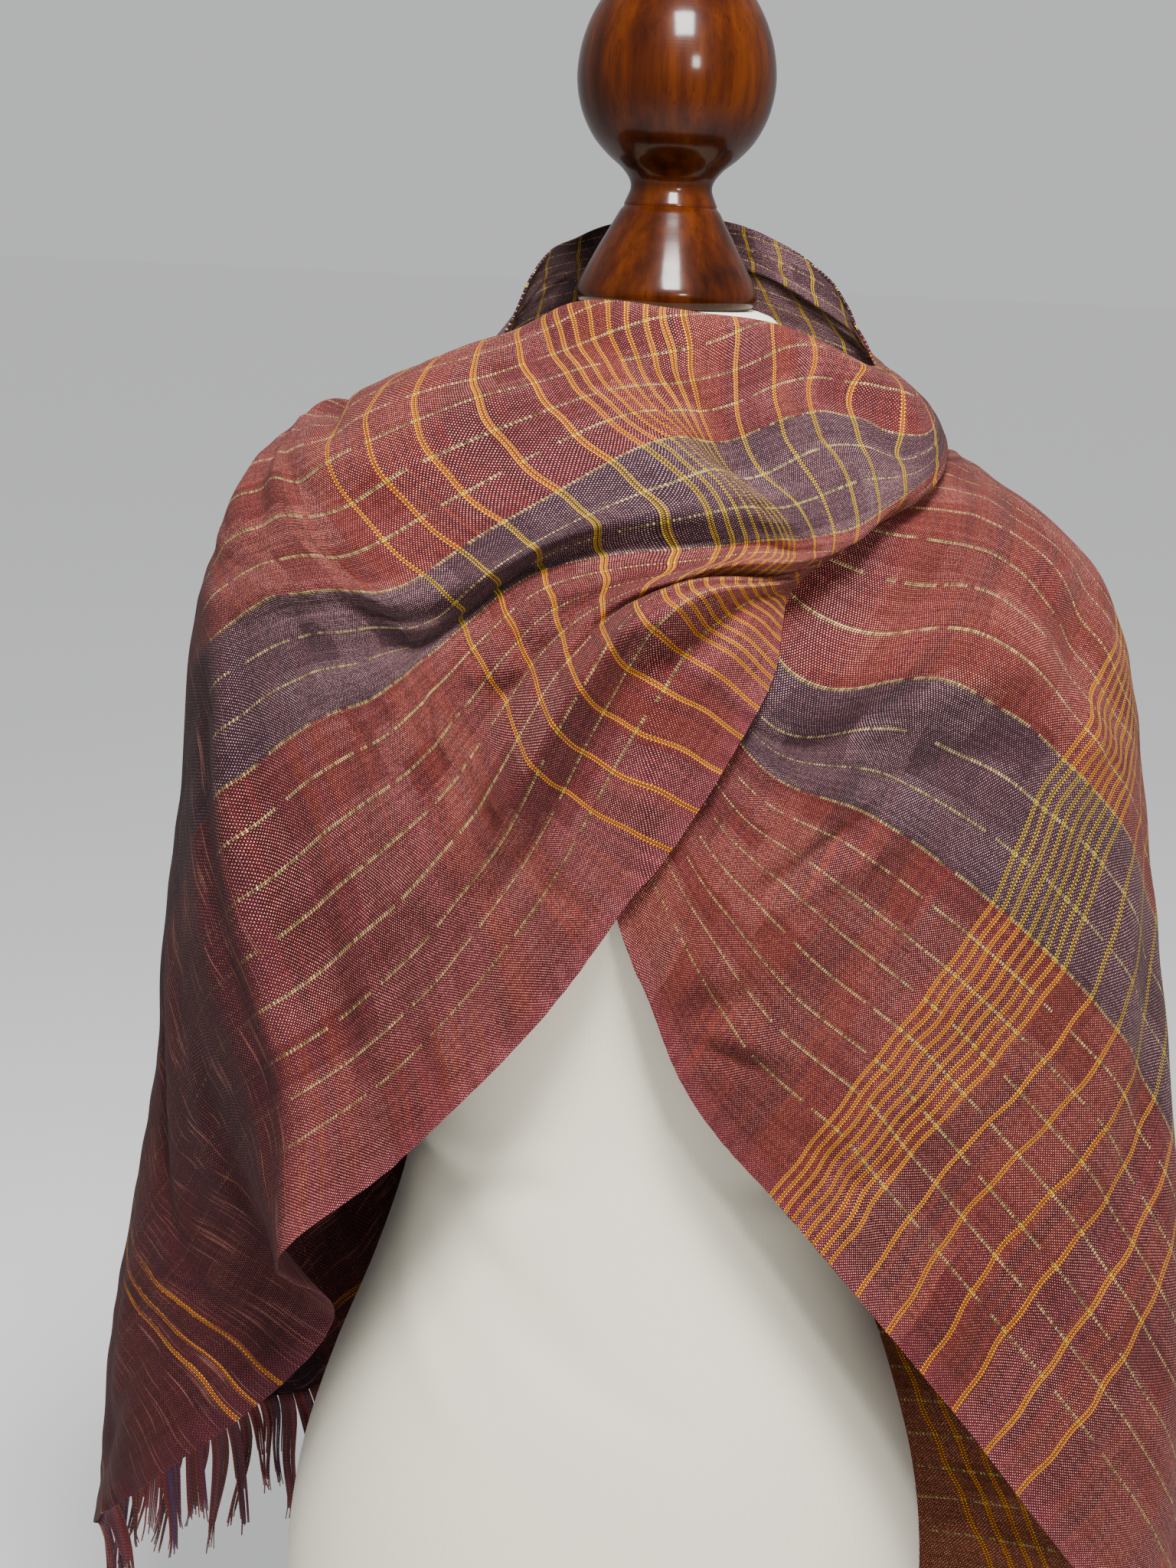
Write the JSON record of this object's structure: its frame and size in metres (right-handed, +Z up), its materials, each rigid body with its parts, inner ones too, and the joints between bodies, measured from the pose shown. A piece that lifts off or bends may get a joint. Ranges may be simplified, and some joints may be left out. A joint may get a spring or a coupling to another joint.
{
  "type": "shawl on a dress form",
  "caption": "Fringed hand-woven shawl looped round the neck and crossed over the chest of a limbless dress form with a turned dark wood neck finial, on a plain round stand.",
  "frame": {"origin": "centre of the round base's underside", "axes": "+Z up, -Y to the front of the chest, +X to the viewer's right"},
  "size_m": [0.6525, 0.36, 1.2415],
  "materials": {
    "woven_cloth": "matt plain weave in rust, magenta and maroon with fine yellow stripes",
    "woven_cloth_purple": "matt plain weave, the purple band of the same cloth",
    "warp_fringe": "loose dark red yarn",
    "form_jersey": "off-white fine knit jersey, matt",
    "dark_wood": "gloss varnish on dark turned wood"
  },
  "bodies": {
    "root": {"shawl_cross_front": "woven_cloth", "shawl_left_wing": "woven_cloth", "shawl_collar": "woven_cloth_purple", "shawl_right_front": "woven_cloth", "shawl_right_wing": "woven_cloth", "fringe_left": "warp_fringe", "fringe_right": "warp_fringe", "form_torso": "form_jersey", "neck_finial": "dark_wood", "stand_pole": "dark_wood", "stand_base": "dark_wood"}
  },
  "joints": []
}
